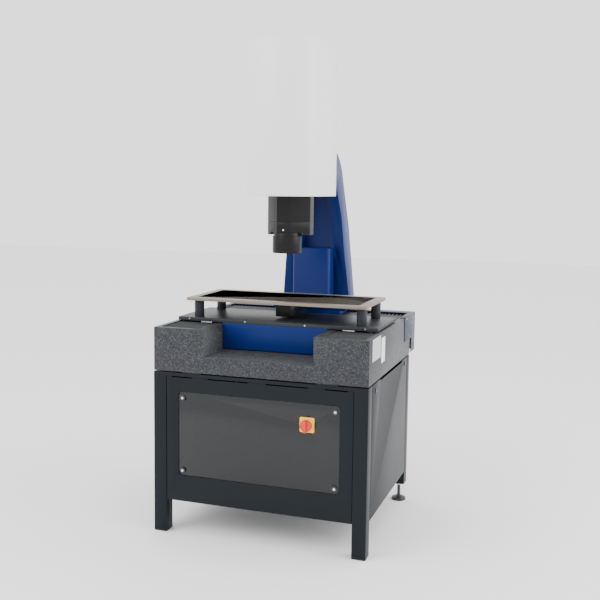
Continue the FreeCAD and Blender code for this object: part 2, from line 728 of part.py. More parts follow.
def y_ball_nut():
    """The nut block that hangs from the stage plate."""
    body = piece("y_ball_nut", y_screw_side, front, ZERO)
    half = s.nut_width / 2
    extrude(body, "y", s.y_nut_front, s.y_nut_front + s.nut_length,
            rectangle(-half, y_screw_height - half, half, plate_bottom),
            Circle(ZERO, y_screw_height, s.y_screw_radius + s.screw_gap))


def y_motor():
    body = piece("y_motor", y_screw_side, front, y_screw_height)
    half = s.y_motor_width / 2
    extrude(body, "y", s.trough_start, s.trough_start + s.y_motor_length,
            bevelled(-half, groove_floor - y_screw_height, half, half, s.motor_corner))


# ---------------------------------------------------------------- stage
def stage_plate():
    body = piece("stage_plate")
    half = plate_half
    extrude(body, "z", plate_bottom, plate_top, rectangle(-half, s.plate_front, half, plate_back))
    soften(body, "Chamfer", s.plate_chamfer, lambda edge: near(edge.CenterOfMass.z, plate_top))


def stage_carriage():
    """The carriage under the plate, an open box that runs in the notch of the bed."""
    body = piece("stage_carriage")
    half = notch_half - s.carriage_gap
    wall = s.carriage_wall
    start, end = s.plate_front - s.carriage_lead, s.plate_front + s.carriage_length
    extrude(body, "z", notch_floor + s.carriage_floor_gap, plate_bottom,
            rectangle(-half, start, half, end),
            rectangle(-half + wall, start + wall, half - wall, end - wall))


def glass_posts():
    body = piece("glass_posts")
    side = plate_half - s.post_inset
    posts = [Circle(x, y, s.post_radius) for x in (-side, side)
             for y in (s.post_front, s.post_front + s.post_pitch)]
    extrude(body, "z", plate_top, frame_bottom, *posts)


def glass_frame():
    body = piece("glass_frame")
    half, back = frame_half, s.frame_front + s.frame_depth
    inset = s.frame_border
    extrude(body, "z", frame_bottom, frame_top, rectangle(-half, s.frame_front, half, back),
            rectangle(-half + inset, s.frame_front + inset, half - inset, back - inset))
    lap = inset - s.glass_lap
    cut(body, "z", frame_top - s.glass_thickness, frame_top,
        rectangle(-half + lap, s.frame_front + lap, half - lap, back - lap))


def stage_glass():
    body = piece("stage_glass")
    half, back = frame_half, s.frame_front + s.frame_depth
    lap = s.frame_border - s.glass_lap
    extrude(body, "z", frame_top - s.glass_thickness, frame_top,
            rectangle(-half + lap, s.frame_front + lap, half - lap, back - lap))


def bellows(body, plane, across, start, length, low, pleats):
    """Pleats of folded sheet: one pleat, repeated along the way the bellows folds."""
    pitch = length / pleats
    top = low + s.pleat_height
    skin = s.pleat_sheet
    pleat = [(start, low), (start + pitch / 2, top), (start + pitch, low),
             (start + pitch, low + skin), (start + pitch / 2, top + skin), (start, low + skin)]
    pad = extrude(body, plane, across[0], across[1], pleat)
    document.recompute()
    pattern = body.newObject("PartDesign::LinearPattern", "Pleats")
    pattern.Originals = [pad]
    pattern.Direction = (pad.Profile[0], ["H_Axis"])
    pattern.Length = (length - pitch).value
    bind(pattern, "Length", length - pitch)
    pattern.Occurrences = int(pleats.value)
    bind(pattern, "Occurrences", pleats)
    body.Tip = pattern


def y_bellows(label, side):
    """Covers a stage guide: one length ahead of the runner blocks and one behind them."""
    body = piece(label)
    inner, outer = trough_inner + s.bellows_gap, trough_outer - s.bellows_gap
    across = (inner, outer) if side > 0 else (-outer, -inner)
    low = bed_top - s.y_bellows_top - s.pleat_height - s.pleat_sheet
    bellows(body, "x", across, s.trough_start, y_blocks_front - s.trough_start, low, s.y_pleats)
    bellows(body, "x", across, y_blocks_back, s.bellows_recess_start - y_blocks_back, low,
            s.y_back_pleats)


# ---------------------------------------------------------------- guides and drives of the column
def x_guide_rails():
    body = piece("x_guide_rails")
    half = trough_outer - s.x_guide_inset
    extrude(body, "z", ledge, ledge + s.guide_height, *[
        rectangle(-half, y - s.guide_width / 2, half, y + s.guide_width / 2)
        for y in (s.x_guide_front, s.x_guide_back)])


def x_runner_blocks():
    body = piece("x_runner_blocks")
    loops = [runner_profile(y, ledge, carriage_bottom) for y in (s.x_guide_front, s.x_guide_back)]
    for centre in (-s.x_block_side, s.x_block_side):
        extrude(body, "x", centre - s.block_length / 2, centre + s.block_length / 2, *loops)


def x_carriage():
    """The saddle that carries the column between the two bellows, low enough at its front
    for the stage plate to pass over it."""
    body = piece("x_carriage")
    half, top = s.x_carriage_half, s.x_bellows_top
    extrude(body, "z", carriage_bottom, top,
            rectangle(-half, s.ledge_start + s.carriage_gap, half, x_carriage_back))
    extrude(body, "z", top - s.pleat_height - s.pleat_sheet, top,
            rectangle(-half, s.x_bellows_front, half, x_carriage_back))
    extrude(body, "z", top, s.x_carriage_top,
            rectangle(-half, s.base_front, half, x_carriage_back))


def x_ball_nut():
    body = piece("x_ball_nut", ZERO, front + s.x_screw_depth, ZERO)
    half = s.nut_width / 2
    extrude(body, "x", -s.nut_length / 2, s.nut_length / 2,
            rectangle(-half, x_screw_height - half, half, carriage_bottom),
            Circle(ZERO, x_screw_height, s.x_screw_radius + s.screw_gap))


def x_ball_screw():
    body = piece("x_ball_screw", ZERO, front + s.x_screw_depth, x_screw_height)
    extrude(body, "x", -x_screw_start, x_motor_start, Circle(ZERO, ZERO, s.x_screw_radius))


def x_motor():
    body = piece("x_motor", ZERO, front + s.x_screw_depth, ZERO)
    half = s.x_motor_width / 2
    extrude(body, "x", x_motor_start, x_motor_start + s.x_motor_length,
            bevelled(-half, ledge, half, ledge + s.x_motor_width, s.motor_corner))


def x_bellows(label, side):
    """Covers the column's guides, from the wall of the bed to the saddle."""
    body = piece(label)
    length = trough_outer - s.x_carriage_half
    start = s.x_carriage_half if side > 0 else -trough_outer
    low = s.x_bellows_top - s.pleat_height - s.pleat_sheet
    bellows(body, "y", (s.x_bellows_front, x_bellows_back), start, length, low, s.x_pleats)


def rear_housing():
    """Sheet metal around the back of the bed: two side plates, a back wall and a top rim."""
    body = piece("rear_housing")
    outer = half_stand + s.housing_sheet
    top = bed_top + s.housing_sheet
    step = s.housing_back - s.housing_foot
    side = [(s.housing_front, top), (s.housing_foot_front, s.housing_edge),
            (step, s.housing_edge), (step, s.housing_bottom),
            (s.housing_back, s.housing_bottom), (s.housing_back, top)]
    extrude(body, "x", half_stand, outer, side)
    extrude(body, "x", -outer, -half_stand, side)
    extrude(body, "y", s.housing_back - s.housing_sheet, s.housing_back,
            rectangle(-outer, s.housing_bottom, outer, top))
    rim = half_stand - s.housing_side_rim
    extrude(body, "z", bed_top, top,
            [(-outer, s.housing_front), (-rim, s.housing_front), (-rim, x_bellows_back),
             (rim, x_bellows_back), (rim, s.housing_front), (outer, s.housing_front),
             (outer, s.housing_back), (-outer, s.housing_back)])


# ---------------------------------------------------------------- column
def column():
    """The blue casting: two cheeks that lean inwards and back, a channel between them, a box
    at its foot and a neck that reaches forwards to the head."""
    body = piece("column")
    low = s.x_carriage_top
    base = s.column_base_half
    extrude(body, "x", -base, base, [
        (s.column_back, low), (s.column_back, s.column_back_straight),
        (s.column_shoulder_back, s.column_shoulder_height, s.column_crown_bulge),
        (s.column_crown_back, s.column_top), (s.neck_front, s.column_top),
        (s.neck_front, s.neck_bottom, -s.neck_bulge),
        (s.cheek_neck_front, s.cheek_neck_height),
        (s.cheek_mid_front, s.cheek_bend_height), (s.cheek_mid_front, s.cheek_mid_height),
        (s.cheek_base_front, low)])
    # the outer faces of the cheeks lean inwards
    margin = s.cut_margin
    wedge = [(s.column_top_half, s.column_top), (base, low), (base + margin, low),
             (base + margin, s.column_top)]
    cut(body, "y", s.neck_front - margin, s.column_back + margin, wedge, mirrored(wedge))
    # the channel between the cheeks, and the flange steps beside it
    def trapezoid(grow):
        top_half, bottom_half = s.channel_top_half + grow, s.channel_bottom_half + grow
        return [(-bottom_half, low + s.base_height), (bottom_half, low + s.base_height),
                (top_half, s.channel_top), (-top_half, s.channel_top)]
    first = s.cheek_neck_front - margin
    cut(body, "y", first, s.channel_back, trapezoid(ZERO))
    cut(body, "y", first, s.cheek_mid_front + s.step_depth, trapezoid(s.step_width))
    cut(body, "y", first, s.cheek_mid_front + s.flange_depth, trapezoid(s.flange_width))
    # the box at the foot
    extrude(body, "z", low, s.box_top,
            rounded(-s.box_half, s.box_front, s.box_half, s.channel_back, s.box_radius))
    # the foot that rests on the saddle
    foot = s.base_half
    extrude(body, "z", low, low + s.base_height,
            rectangle(-foot, s.base_front, foot, s.column_back))


# ---------------------------------------------------------------- head drive, on the column
def head_back_plate():
    """The plate that carries the head's guides, inside the cover."""
    body = piece("head_back_plate")
    half = s.cover_half - s.cover_wall - s.back_plate_gap
    extrude(body, "y", back_plate_front, s.neck_front,
            rectangle(-half, s.cover_bottom + s.back_plate_margin, half,
                      s.cover_top - s.cover_wall - s.back_plate_gap))


def cover_outline(half, shift, back):
    corner, deep = s.cover_corner_width, s.cover_corner_depth
    side = s.cover_side_front + shift
    return [(-half, back), (-half, side, s.cover_corner_bulge),
            (-half + corner, side - deep, s.cover_front_bulge),
            (half - corner, side - deep, s.cover_corner_bulge), (half, side), (half, back)]


def head_cover():
    """A thin hood, bowed at the front and open at the bottom and the back."""
    body = piece("head_cover")
    half, wall = s.cover_half, s.cover_wall
    extrude(body, "z", s.cover_bottom, s.cover_top, cover_outline(half, ZERO, s.cover_back))
    cut(body, "z", s.cover_bottom, s.cover_top - wall,
        cover_outline(half - wall, wall, s.cover_back + s.cut_margin))


def z_guide_rails():
    body = piece("z_guide_rails")
    extrude(body, "y", z_guide_front, back_plate_front, *[
        rectangle(x - s.guide_width / 2, s.z_guide_bottom, x + s.guide_width / 2, s.z_guide_top)
        for x in (-s.z_guide_side, s.z_guide_side)])


def z_screw_supports():
    body = piece("z_screw_supports", ZERO, front, ZERO)
    half = s.nut_width / 2
    for low in (s.z_support_bottom, s.z_support_top):
        extrude(body, "z", low, low + s.support_thickness,
                rectangle(-half, z_screw_depth - half + s.z_end_gap, half, back_plate_front),
                Circle(ZERO, z_screw_depth, s.z_screw_radius + s.screw_gap))


def z_ball_screw():
    body = piece("z_ball_screw", ZERO, front + z_screw_depth, ZERO)
    extrude(body, "z", s.z_support_bottom, s.z_support_top + s.support_thickness
            + s.turning_gap, Circle(ZERO, ZERO, s.z_screw_radius))


def z_motor():
    body = piece("z_motor", ZERO, front + z_screw_depth, ZERO)
    half = s.z_motor_width / 2
    low = s.z_support_top + s.support_thickness + s.turning_gap
    extrude(body, "z", low, low + s.z_motor_length,
            bevelled(-half, -half, half, back_plate_front - z_screw_depth, s.motor_corner))


# ---------------------------------------------------------------- head
def z_carriage():
    """The moving plate of the head, with the bracket that holds the sensor housing."""
    body = piece("z_carriage")
    half, low = s.z_carriage_half, s.z_carriage_bottom
    high = low + s.z_carriage_height
    extrude(body, "y", z_plate_front, z_plate_back, rectangle(-half, low, half, high))
    extrude(body, "y", s.axis_depth + s.head_back, z_plate_front,
            rectangle(-s.bracket_half, low + s.z_block_margin, s.bracket_half,
                      low + s.z_block_margin + s.bracket_height))


def z_runner_blocks():
    body = piece("z_runner_blocks")
    half, slot = s.block_width / 2, s.guide_width / 2 + s.block_gap
    back = back_plate_front - s.block_lift
    roof = z_guide_front - s.block_gap
    loops = []
    for x in (-s.z_guide_side, s.z_guide_side):
        loops.append([(x - half, z_plate_back), (x + half, z_plate_back), (x + half, back),
                      (x + slot, back), (x + slot, roof), (x - slot, roof), (x - slot, back),
                      (x - half, back)])
    low = s.z_carriage_bottom + s.z_block_margin
    high = s.z_carriage_bottom + s.z_carriage_height - s.z_block_margin - s.block_length
    for start in (low, high):
        extrude(body, "z", start, start + s.block_length, *loops)


def z_ball_nut():
    body = piece("z_ball_nut")
    half = s.nut_width / 2
    extrude(body, "z", s.z_nut_bottom, s.z_nut_bottom + s.nut_length,
            rectangle(-half, z_plate_back, half, back_plate_front - s.z_end_gap),
            Circle(ZERO, z_screw_depth, s.z_screw_radius + s.screw_gap))


def head_outline(grow):
    """The plan of the sensor housing, or one that lies this much outside it."""
    half, tip = s.head_half + grow, s.head_front_half + grow / 2
    return [(-tip, -s.head_front - grow), (tip, -s.head_front - grow),
            (half, s.head_corner - grow / 2), (half, s.head_back + grow),
            (-half, s.head_back + grow), (-half, s.head_corner - grow / 2)]


def sensor_housing():
    """The angular housing of the camera, with a joint around it and a relief for the lens."""
    body = piece("sensor_housing", ZERO, front + s.axis_depth, ZERO)
    extrude(body, "z", s.head_bottom, s.head_top, head_outline(ZERO))
    cut(body, "z", s.head_joint, s.head_joint + s.joint_width, head_outline(s.joint_width),
        head_outline(-s.joint_depth))
    cut(body, "z", s.head_bottom, s.head_bottom + s.head_relief_height,
        Circle(ZERO, ZERO, s.head_relief_radius))


def lens_barrel():
    """A plain barrel with a necked top and the seat of the front lens."""
    body = piece("lens_barrel", ZERO, front + s.axis_depth, ZERO)
    low = s.barrel_bottom
    seat = low + s.barrel_bore_depth
    shoulder = low + s.barrel_length
    turn(body, "y", "V_Axis", [
        (s.barrel_bore_radius, low), (s.barrel_radius, low), (s.barrel_radius, shoulder),
        (s.neck_radius, shoulder), (s.neck_radius, s.head_bottom + s.head_relief_height),
        (ZERO, s.head_bottom + s.head_relief_height), (ZERO, seat), (s.barrel_bore_radius, seat)])


def front_lens():
    body = piece("front_lens", ZERO, front + s.axis_depth, ZERO)
    seat = s.barrel_bottom + s.barrel_bore_depth
    extrude(body, "z", seat - s.lens_thickness, seat,
            Circle(ZERO, ZERO, s.barrel_bore_radius - s.turning_gap))


# ---------------------------------------------------------------- transmitted light
def light_arm():
    """The arm that reaches from the column between the plate and the glass."""
    body = piece("light_arm")
    head_end = s.arm_front + s.arm_head_length
    extrude(body, "z", s.arm_bottom, s.arm_top,
            rectangle(-s.arm_half, s.arm_front, s.arm_half, head_end))
    extrude(body, "z", s.arm_bottom + s.arm_beam_drop, s.arm_top - s.arm_beam_drop,
            rectangle(-s.arm_beam_half, head_end, s.arm_beam_half, s.box_front))
    cut(body, "z", s.arm_top - s.arm_lens_depth, s.arm_top,
        Circle(ZERO, s.axis_depth, s.arm_lens_radius))


def arm_lens():
    body = piece("arm_lens")
    extrude(body, "z", s.arm_top - s.arm_lens_depth, s.arm_top,
            Circle(ZERO, s.axis_depth, s.arm_lens_radius))


# ---------------------------------------------------------------- the machine
def build():
    stand_frame()
    front_foot_pads()
    levelling_feet()
    foot_lock_nuts()
    front_panel()
    window_pane()
    window_screws()
    side_panel("left_side_panel", -1)
    side_panel("right_side_panel", 1)
    panel_locks()
    back_panel()
    floor_panel()
    rack_uprights()
    power_unit()
    rack_unit("controller_unit", s.controller_height, 1)
    rack_unit("computer_unit", s.computer_height, 2)
    main_switch_plate()
    main_switch_knob()
    main_switch_body()
    bed_pads()
    granite_bed()
    y_guide_rails()
    y_runner_blocks()
    y_ball_screw()
    screw_supports()
    y_ball_nut()
    y_motor()
    stage_plate()
    stage_carriage()
    glass_posts()
    glass_frame()
    stage_glass()
    y_bellows("left_stage_bellows", -1)
    y_bellows("right_stage_bellows", 1)
    x_guide_rails()
    x_runner_blocks()
    x_carriage()
    x_ball_nut()
    x_ball_screw()
    x_motor()
    x_bellows("left_column_bellows", -1)
    x_bellows("right_column_bellows", 1)
    rear_housing()
    column()
    head_back_plate()
    head_cover()
    z_guide_rails()
    z_screw_supports()
    z_ball_screw()
    z_motor()
    z_carriage()
    z_runner_blocks()
    z_ball_nut()
    sensor_housing()
    lens_barrel()
    front_lens()
    light_arm()
    arm_lens()
    document.recompute()


def check():
    for item in document.Objects:
        if "Invalid" in item.State or "Error" in item.State:
            raise RuntimeError("%s (%s) failed: %s" % (item.Name, item.Label, item.State))
    for body in pieces:
        if body.Shape.isNull() or not body.Shape.isValid():
            raise RuntimeError("%s has no valid shape" % body.Label)


def write():
    os.makedirs("parts", exist_ok=True)
    for body in pieces:
        body.Shape.exportStep("parts/%s.step" % body.Label)
        box = body.Shape.BoundBox
        print("%-24s %2d solids  x %8.1f %8.1f  y %8.1f %8.1f  z %8.1f %8.1f" % (
            body.Label, len(body.Shape.Solids), box.XMin, box.XMax, box.YMin, box.YMax,
            box.ZMin, box.ZMax))


build()
check()
write()
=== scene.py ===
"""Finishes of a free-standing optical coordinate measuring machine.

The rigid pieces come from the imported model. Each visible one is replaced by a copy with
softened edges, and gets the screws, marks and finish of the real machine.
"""
import json
import math

import bmesh
import bpy
from mathutils import Matrix, Vector


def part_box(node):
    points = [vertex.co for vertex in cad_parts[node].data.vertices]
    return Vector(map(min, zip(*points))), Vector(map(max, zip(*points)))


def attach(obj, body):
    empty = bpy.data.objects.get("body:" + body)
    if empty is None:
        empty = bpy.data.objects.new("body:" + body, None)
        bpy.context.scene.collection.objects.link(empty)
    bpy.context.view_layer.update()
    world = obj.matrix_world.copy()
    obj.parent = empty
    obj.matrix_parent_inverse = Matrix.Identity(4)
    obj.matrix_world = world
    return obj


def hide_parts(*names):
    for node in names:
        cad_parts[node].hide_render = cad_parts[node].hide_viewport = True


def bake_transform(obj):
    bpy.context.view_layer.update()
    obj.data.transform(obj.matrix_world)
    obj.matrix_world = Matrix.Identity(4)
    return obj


bl_info = {
    "name": "Coordinate measuring machine",
    "version": (1, 0),
    "blender": (4, 5, 0),
    "location": "View3D > Sidebar > Machine",
    "description": "Dresses the packed model of an optical coordinate measuring machine",
    "category": "Object",
}

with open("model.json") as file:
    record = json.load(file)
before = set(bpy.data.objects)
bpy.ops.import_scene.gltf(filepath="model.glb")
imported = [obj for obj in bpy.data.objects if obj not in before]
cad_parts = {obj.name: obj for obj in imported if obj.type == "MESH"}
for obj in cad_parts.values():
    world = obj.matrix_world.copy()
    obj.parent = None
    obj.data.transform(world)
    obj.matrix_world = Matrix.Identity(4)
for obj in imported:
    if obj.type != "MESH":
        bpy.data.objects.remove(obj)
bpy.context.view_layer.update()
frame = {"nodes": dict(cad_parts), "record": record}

BODY_OF = {node: body for body, nodes in frame["record"]["behaviour"]["bodies"].items()
           for node in nodes}
SLOT_OF = {part["node"]: part["material_slot"] for part in frame["record"]["subparts"]}
X, Y = Vector((1, 0, 0)), Vector((0, 1, 0))
SHARP_ANGLE = 35.0          # degrees, above which an edge is a corner

# places of what the finishing adds, in metres
SCREW_SUNK = 0.0002
EAR_INSET, EAR_MARGIN = 0.008, 0.0075
MARK_HALF = Vector((0.0018, 0.0003, 0.0007))
PLATE_SUNK, PLATE_PROUD = 0.0005, 0.0008
SIDE_PLATES = (             # name, slot, lower and upper corner across the side
    ("grey_side_plate", "zinc", (-0.2991, 0.6191), (-0.1888, 0.6894)),
    ("white_side_strip", "cover_white", (-0.1774, 0.5956), (-0.1294, 0.6769)),
)
STAGE_SCREW_SHARES = (0.06, 0.35, 0.65, 0.94)
HOUSING_SCREWS = ((0.2153, 0.687), (0.3278, 0.6788), (0.3266, 0.659))
COVER_SCREW_HEIGHTS, COVER_SCREW_INSET = (1.177, 1.377, 1.58), 0.012


# ---------------------------------------------------------------- properties
def length(name, description, default):
    return bpy.props.FloatProperty(name=name, description=description, default=default,
                                   min=0.0, unit="LENGTH", precision=4)


def colour(name, description, default):
    return bpy.props.FloatVectorProperty(name=name, description=description, default=default,
                                         subtype="COLOR", size=3, min=0.0, max=1.0)


class MachineColours(bpy.types.PropertyGroup):
    """Colours of the machine's finishes, in linear light."""
    anthracite: colour("Anthracite", "Powder coat of the stand", (0.0055, 0.0080, 0.0110))
    granite: colour("Granite", "Middle tone of the granite", (0.026, 0.0275, 0.0315))
    machine_blue: colour("Blue", "Paint of the column and the carriages", (0.003, 0.015, 0.105))
    housing: colour("Housing", "Paint of the rear housing", (0.020, 0.024, 0.050))
    cover: colour("Cover", "Paint of the hood", (0.80, 0.79, 0.82))
    black: colour("Black", "Anodised parts", (0.0065, 0.0058, 0.0068))
    plate: colour("Plate", "Stage plate", (0.030, 0.033, 0.038))
    frame_metal: colour("Frame", "Brushed frame of the glass", (0.20, 0.165, 0.135))
    glass_edge: colour("Glass edge", "Tint of the glass", (0.55, 0.80, 0.72))
    bellows: colour("Bellows", "Coated folding cloth", (0.022, 0.022, 0.024))
    yellow: colour("Yellow", "Plate of the main switch", (0.85, 0.50, 0.01))
    red: colour("Red", "Knob of the main switch", (0.62, 0.022, 0.008))


class MachineDetails(bpy.types.PropertyGroup):
    """Sizes of what the finishing adds."""
    sheet_edge: length("Sheet edge", "Rounding of folded sheet", 0.0012)
    block_edge: length("Block edge", "Bevel of milled blocks", 0.0006)
    cast_edge: length("Casting edge", "Rounding of the casting", 0.0035)
    stone_edge: length("Stone edge", "Bevel of the granite", 0.0016)
    screw_radius: length("Screw radius", "Heads of the cover screws", 0.0033)


# ---------------------------------------------------------------- shader expressions
class Value:
    """A number that changes over a surface. Python's operators add its Math nodes."""

    def __init__(self, finish, socket):
        self.finish, self.socket = finish, socket

    def maths(self, operation, *others):
        node = self.finish.add("ShaderNodeMath", {"operation": operation}, [self, *others])
        return Value(self.finish, node.outputs[0])

    def __add__(self, other):
        return self.maths("ADD", other)

    def __sub__(self, other):
        return self.maths("SUBTRACT", other)

    def __mul__(self, other):
        return self.maths("MULTIPLY", other)

    def __rsub__(self, other):
        return (self * -1.0) + other

    __radd__ = __add__
    __rmul__ = __mul__


class Finish:
    """One material: its constants sit on the shader's sockets, its patterns are added nodes."""

    def __init__(self, name, **constants):
        self.material = bpy.data.materials.new(name)
        self.material.use_nodes = True
        self.tree = self.material.node_tree
        self.shader = self.tree.nodes["Principled BSDF"]
        for socket, value in constants.items():
            self.shader.inputs[socket.replace("_", " ")].default_value = value

    def add(self, kind, settings, inputs=()):
        node = self.tree.nodes.new(kind)
        for name, value in settings.items():
            if name == "stops":
                ramp = node.color_ramp
                while len(ramp.elements) < len(value):
                    ramp.elements.new(0.5)
                for element, (place, tone) in zip(ramp.elements, value):
                    element.position, element.color = place, tone
            else:
                setattr(node, name, value)
        pairs = inputs.items() if isinstance(inputs, dict) else enumerate(inputs)
        for key, value in pairs:
            if isinstance(value, Value):
                value = value.socket
            if isinstance(value, bpy.types.NodeSocket):
                self.tree.links.new(value, node.inputs[key])
            else:
                node.inputs[key].default_value = value
        return node

    def place(self, scale=(1, 1, 1)):
        """The point of the surface in metres, stretched by scale."""
        point = self.add("ShaderNodeTexCoord", {}).outputs["Object"]
        return self.add("ShaderNodeMapping", {}, {"Vector": point, "Scale": scale}
                        ).outputs["Vector"]

    def axis(self, letter):
        split = self.add("ShaderNodeSeparateXYZ", {}, [self.place()])
        return Value(self, split.outputs[letter])

    def noise(self, size, detail=2.0, roughness=0.5, stretch=(1, 1, 1)):
        """Cloudy pattern with features of this size, in metres."""
        node = self.add("ShaderNodeTexNoise", {}, {
            "Vector": self.place(stretch), "Scale": 1 / size, "Detail": detail,
            "Roughness": roughness})
        return Value(self, node.outputs["Fac"])

    def grains(self, size):
        """One random tone for each grain of this size, in metres."""
        node = self.add("ShaderNodeTexVoronoi", {}, {
            "Vector": self.place(), "Scale": 1 / size, "Randomness": 1.0})
        grey = self.add("ShaderNodeSeparateColor", {}, [node.outputs["Color"]])
        return Value(self, grey.outputs[0])

    def mix(self, amount, first, second):
        node = self.add("ShaderNodeMix", {"data_type": "RGBA"}, {
            "Factor": amount, 6: opaque(first), 7: opaque(second)})
        return node.outputs[2]

    def ramp(self, value, *stops):
        node = self.add("ShaderNodeValToRGB", {"stops": [(at, opaque(tone)) for at, tone in stops]},
                        [value])
        return node.outputs["Color"]

    def wear(self, height, distance, strength=1.0):
        bump = self.add("ShaderNodeBump", {}, {
            "Strength": strength, "Distance": distance, "Height": height})
        self.feed(Normal=bump.outputs["Normal"])

    def feed(self, **sockets):
        for name, value in sockets.items():
            if isinstance(value, Value):
                value = value.socket
            self.tree.links.new(value, self.shader.inputs[name.replace("_", " ")])


def opaque(tone):
    if isinstance(tone, (Value, bpy.types.NodeSocket)):
        return tone
    return (*tone, 1.0) if len(tone) == 3 else tone


def tinted(tone, factor):
    return tuple(min(1.0, part * factor) for part in tone)


FINISHES = {}


def finish_of(slot, colours):
    """The material of a slot, made once."""
    if slot not in FINISHES:
        FINISHES[slot] = MAKERS[slot](colours).material
    return FINISHES[slot]


# ---------------------------------------------------------------- finishes
def powder_coat(name, tone, grain=0.0011, gloss=0.42, depth=0.00006):
    """Fine orange-peel texture of a powder coat, with faint clouds in its gloss."""
    finish = Finish(name, Roughness=gloss, Specular_IOR_Level=0.14)
    peel = finish.noise(grain, 1.5)
    clouds = finish.noise(0.18, 3.0)
    finish.feed(Base_Color=finish.mix(clouds, tinted(tone, 0.93), tinted(tone, 1.07)),
                Roughness=clouds * 0.08 + (gloss - 0.04))
    finish.wear(peel, depth)
    return finish


def anthracite(colours):
    return powder_coat("anthracite_powder_coat", colours.anthracite)


def rack_black(colours):
    return powder_coat("rack_black", tinted(colours.anthracite, 0.55), gloss=0.5)


def blue_paint(colours):
    return powder_coat("blue_powder_coat", colours.machine_blue, 0.0016, 0.34, 0.00012)


def housing_paint(colours):
    return powder_coat("housing_powder_coat", colours.housing, 0.0014, 0.36, 0.0001)


def cover_paint(colours):
    finish = Finish("white_cover_paint", Roughness=0.38, Coat_Weight=0.0)
    clouds = finish.noise(0.25, 2.0)
    finish.feed(Base_Color=finish.mix(clouds, tinted(colours.cover, 0.985), colours.cover),
                Roughness=clouds * 0.06 + 0.34)
    finish.wear(finish.noise(0.0013, 1.0), 0.00002)
    return finish


def granite(colours):
    """Dark granite: small pale and black grains in a cloudy middle grey."""
    finish = Finish("honed_granite", Roughness=0.42, Specular_IOR_Level=0.25)
    tone = colours.granite
    grains = finish.grains(0.0034)
    fine = finish.grains(0.0016)
    clouds = finish.noise(0.02, 3.0)
    body = finish.ramp(grains * 0.62 + fine * 0.38,
                       (0.10, tinted(tone, 0.25)), (0.34, tinted(tone, 0.70)),
                       (0.62, tinted(tone, 1.15)), (0.80, tinted(tone, 2.0)),
                       (0.97, tinted(tone, 3.6)))
    finish.feed(Base_Color=finish.mix(clouds * 0.35, body, tinted(tone, 0.9)),
                Roughness=grains * 0.22 + 0.32)
    finish.wear(grains * 0.6 + finish.noise(0.004, 3.0) * 0.4, 0.00008)
    return finish


def anodised(name, tone, gloss=0.38):
    """Black anodised metal with a faint trace of the milling."""
    finish = Finish(name, Metallic=0.0, Roughness=gloss, Specular_IOR_Level=0.16)
    lines = finish.noise(0.002, 2.0, stretch=(0.05, 1, 1))
    finish.feed(Base_Color=finish.mix(finish.noise(0.12, 2.0), tinted(tone, 0.85), tone),
                Roughness=lines * 0.1 + (gloss - 0.05))
    finish.wear(finish.noise(0.0009, 1.0), 0.00002)
    return finish


def head_black(colours):
    return anodised("black_anodised", colours.black, 0.36)


def plate_black(colours):
    return anodised("plate_black", colours.plate, 0.40)


def motor_black(colours):
    return anodised("motor_black", colours.black, 0.45)


def steel(name, tone, gloss, stretch):
    """Ground metal: fine scratches along one direction."""
    finish = Finish(name, Metallic=1.0, Roughness=gloss)
    lines = finish.noise(0.0012, 2.0, stretch=stretch)
    finish.feed(Base_Color=finish.mix(lines, tinted(tone, 0.85), tone),
                Roughness=lines * 0.15 + (gloss - 0.07))
    finish.wear(lines, 0.00002)
    return finish


def zinc(colours):
    return steel("zinc", (0.62, 0.63, 0.65), 0.32, (1, 1, 1))


def guide_steel(colours):
    return steel("guide_steel", (0.52, 0.53, 0.55), 0.25, (0.04, 1, 1))


def milled(colours):
    return steel("milled_aluminium", (0.60, 0.61, 0.63), 0.35, (0.1, 1, 1))


def frame_metal(colours):
    """Brushed, warm grey frame of the glass."""
    finish = Finish("brushed_frame", Metallic=0.55, Roughness=0.42)
    lines = finish.noise(0.0012, 2.0, stretch=(0.03, 1, 1))
    tone = colours.frame_metal
    finish.feed(Base_Color=finish.mix(lines, tinted(tone, 0.72), tinted(tone, 1.25)),
                Roughness=lines * 0.2 + 0.30)
    finish.wear(lines, 0.00003)
    return finish


def smoked_pane(colours):
    return Finish("smoked_pane", Base_Color=(0.004, 0.005, 0.006, 1), Roughness=0.16,
                  Alpha=0.88)


def stage_glass(colours):
    return Finish("float_glass", Base_Color=(*colours.glass_edge, 1), Roughness=0.02,
                  IOR=1.52, Alpha=0.45)


def lens_glass(colours):
    return Finish("coated_lens", Base_Color=(0.02, 0.025, 0.05, 1), Roughness=0.03,
                  Coat_Weight=0.8, Coat_Roughness=0.02)


def bellows_cloth(colours):
    """Coated cloth with a fine weave."""
    finish = Finish("bellows_cloth", Roughness=0.62)
    weave = finish.noise(0.0009, 1.0)
    finish.feed(Base_Color=finish.mix(weave, tinted(colours.bellows, 0.7),
                                      tinted(colours.bellows, 1.4)),
                Roughness=weave * 0.2 + 0.5)
    finish.wear(weave, 0.00008)
    return finish


def plastic(name, tone, gloss):
    finish = Finish(name, Roughness=gloss)
    clouds = finish.noise(0.01, 2.0)
    finish.feed(Base_Color=finish.mix(clouds, tinted(tone, 0.94), tinted(tone, 1.04)),
                Roughness=clouds * 0.1 + (gloss - 0.05))
    finish.wear(finish.noise(0.0007, 1.0), 0.00001)
    return finish


def switch_yellow(colours):
    return plastic("switch_yellow", colours.yellow, 0.35)


def switch_red(colours):
    return plastic("switch_red", colours.red, 0.3)


def black_plastic(colours):
    return plastic("black_plastic", (0.012, 0.012, 0.013), 0.35)


def black_rubber(colours):
    return plastic("black_rubber", (0.012, 0.012, 0.012), 0.75)


def foot_metal(colours):
    return plastic("foot_black", (0.02, 0.02, 0.022), 0.4)


